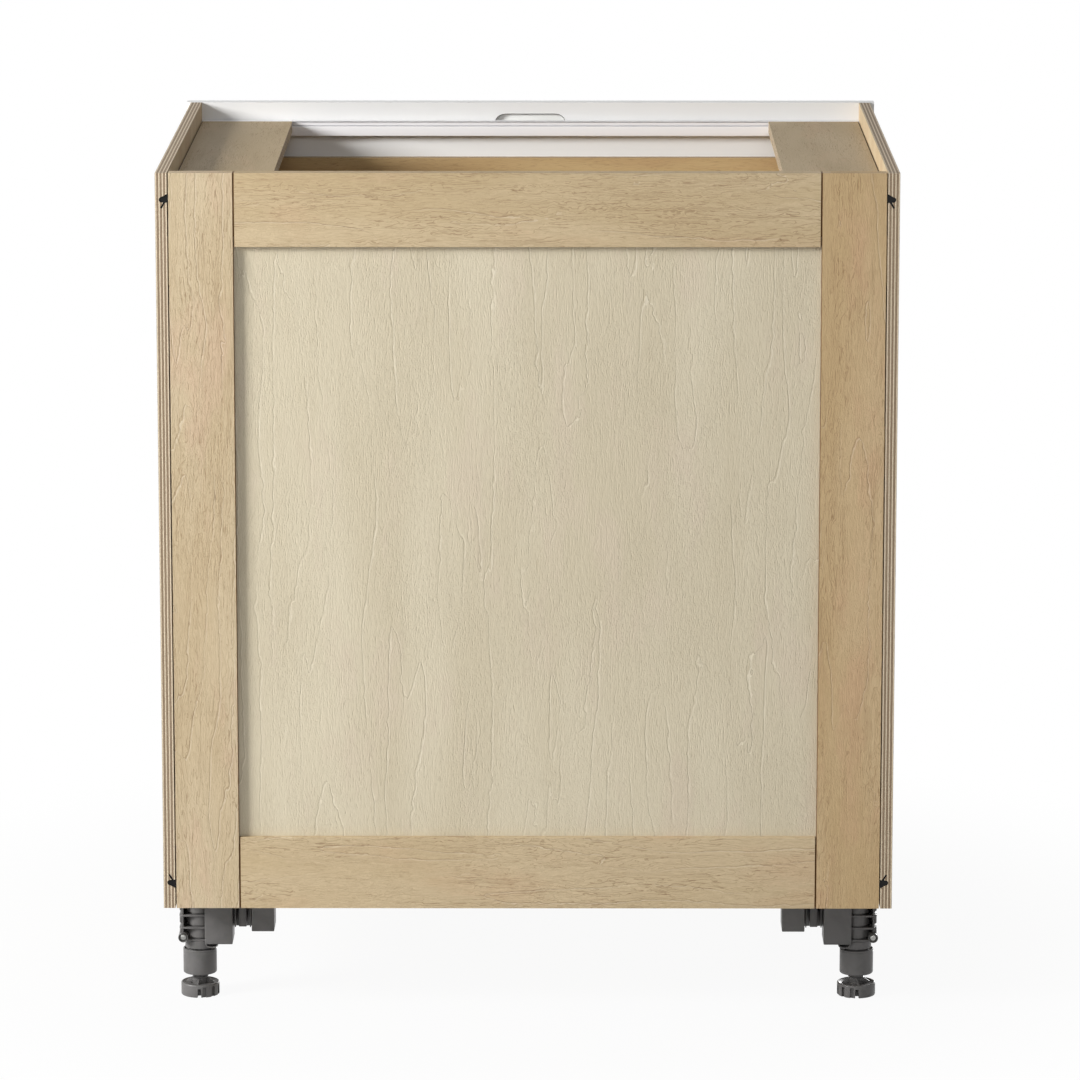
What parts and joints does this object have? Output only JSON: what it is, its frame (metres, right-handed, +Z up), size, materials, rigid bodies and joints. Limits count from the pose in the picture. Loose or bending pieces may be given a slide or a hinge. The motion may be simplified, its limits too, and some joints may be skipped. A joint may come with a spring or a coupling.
{
  "type": "drawer base cabinet",
  "caption": "Base cabinet with stacked drawers on telescopic slides, a frame-and-panel back, an open top and levelling legs.",
  "frame": {"origin": "on the floor under the middle of the whole cabinet", "axes": "+Z up, +Y from the drawer fronts to the back, +X to the right as seen from the drawer fronts"},
  "size_m": [0.759, 0.6128, 0.8763],
  "materials": {
    "birch_ply": "clear-coated veneer over seven plies",
    "stretcher_ply": "clear-coated plywood",
    "frame_upright": "oiled, grain upright",
    "frame_cross": "oiled, grain across",
    "panel_veneer": "pale veneer, grain upright",
    "biscuit_wood": "raw",
    "drawer_ply": "clear-coated plywood",
    "front_paint": "white satin paint",
    "pull_plastic": "white gloss",
    "block_plastic": "white moulded",
    "strip_plastic": "dark moulded",
    "leg_plastic": "grey moulded",
    "rail_white": "white powder coat",
    "slide_zinc": "bright zinc",
    "screw_zinc": "bright zinc"
  },
  "bodies": {
    "carcass": {"back_biscuits": "biscuit_wood", "back_panel": "panel_veneer", "back_rail_bottom": "frame_cross", "back_rail_top": "frame_cross", "back_stile_left": "frame_upright", "back_stile_right": "frame_upright", "bottom_panel": "birch_ply", "cabinet_rails_bottom": "slide_zinc", "cabinet_rails_middle": "slide_zinc", "cabinet_rails_top": "slide_zinc", "carcass_screws": "screw_zinc", "front_rail": "rail_white", "front_rail_blocks": "block_plastic", "groove_plugs": "strip_plastic", "leg_brackets": "leg_plastic", "leg_screws": "screw_zinc", "leg_tubes": "leg_plastic", "locking_tongues": "strip_plastic", "side_panel_left": "birch_ply", "side_panel_right": "birch_ply", "top_stretcher_left": "stretcher_ply", "top_stretcher_right": "stretcher_ply"},
    "drawer_top": {"box_back_top": "drawer_ply", "box_bottom_top": "drawer_ply", "box_front_top": "drawer_ply", "box_sides_top": "drawer_ply", "drawer_front_top": "front_paint", "drawer_pull_top": "pull_plastic", "drawer_rails_top": "slide_zinc", "drawer_screws_top": "screw_zinc"},
    "middle_slides_top": {"middle_rails_top": "slide_zinc"},
    "drawer_middle": {"box_back_middle": "drawer_ply", "box_bottom_middle": "drawer_ply", "box_front_middle": "drawer_ply", "box_sides_middle": "drawer_ply", "drawer_front_middle": "front_paint", "drawer_pull_middle": "pull_plastic", "drawer_rails_middle": "slide_zinc", "drawer_screws_middle": "screw_zinc"},
    "middle_slides_middle": {"middle_rails_middle": "slide_zinc"},
    "drawer_bottom": {"box_back_bottom": "drawer_ply", "box_bottom_bottom": "drawer_ply", "box_front_bottom": "drawer_ply", "box_sides_bottom": "drawer_ply", "drawer_front_bottom": "front_paint", "drawer_pull_bottom": "pull_plastic", "drawer_rails_bottom": "slide_zinc", "drawer_screws_bottom": "screw_zinc"},
    "middle_slides_bottom": {"middle_rails_bottom": "slide_zinc"},
    "foot_front_left": {"foot_front_left": "leg_plastic"},
    "foot_front_right": {"foot_front_right": "leg_plastic"},
    "foot_rear_left": {"foot_rear_left": "leg_plastic"},
    "foot_rear_right": {"foot_rear_right": "leg_plastic"}
  },
  "joints": [
    {"name": "drawer_top_slide", "type": "slide", "parent": "carcass", "child": "drawer_top", "axis": [0, -1, 0], "range_m": [0, 0.5]},
    {"name": "middle_slides_top_slide", "type": "slide", "parent": "carcass", "child": "middle_slides_top", "axis": [0, -1, 0], "range_m": [0, 0.25]},
    {"name": "drawer_middle_slide", "type": "slide", "parent": "carcass", "child": "drawer_middle", "axis": [0, -1, 0], "range_m": [0, 0.5]},
    {"name": "middle_slides_middle_slide", "type": "slide", "parent": "carcass", "child": "middle_slides_middle", "axis": [0, -1, 0], "range_m": [0, 0.25]},
    {"name": "drawer_bottom_slide", "type": "slide", "parent": "carcass", "child": "drawer_bottom", "axis": [0, -1, 0], "range_m": [0, 0.5]},
    {"name": "middle_slides_bottom_slide", "type": "slide", "parent": "carcass", "child": "middle_slides_bottom", "axis": [0, -1, 0], "range_m": [0, 0.25]},
    {"name": "foot_front_left_slide", "type": "slide", "parent": "carcass", "child": "foot_front_left", "axis": [0, 0, -1], "range_m": [-0.009, 0.02]},
    {"name": "foot_front_right_slide", "type": "slide", "parent": "carcass", "child": "foot_front_right", "axis": [0, 0, -1], "range_m": [-0.009, 0.02]},
    {"name": "foot_rear_left_slide", "type": "slide", "parent": "carcass", "child": "foot_rear_left", "axis": [0, 0, -1], "range_m": [-0.009, 0.02]},
    {"name": "foot_rear_right_slide", "type": "slide", "parent": "carcass", "child": "foot_rear_right", "axis": [0, 0, -1], "range_m": [-0.009, 0.02]}
  ],
  "couplings": [
    {"joint": "middle_slides_top_slide", "follows": "drawer_top_slide", "ratio": 0.5},
    {"joint": "middle_slides_middle_slide", "follows": "drawer_middle_slide", "ratio": 0.5},
    {"joint": "middle_slides_bottom_slide", "follows": "drawer_bottom_slide", "ratio": 0.5}
  ]
}
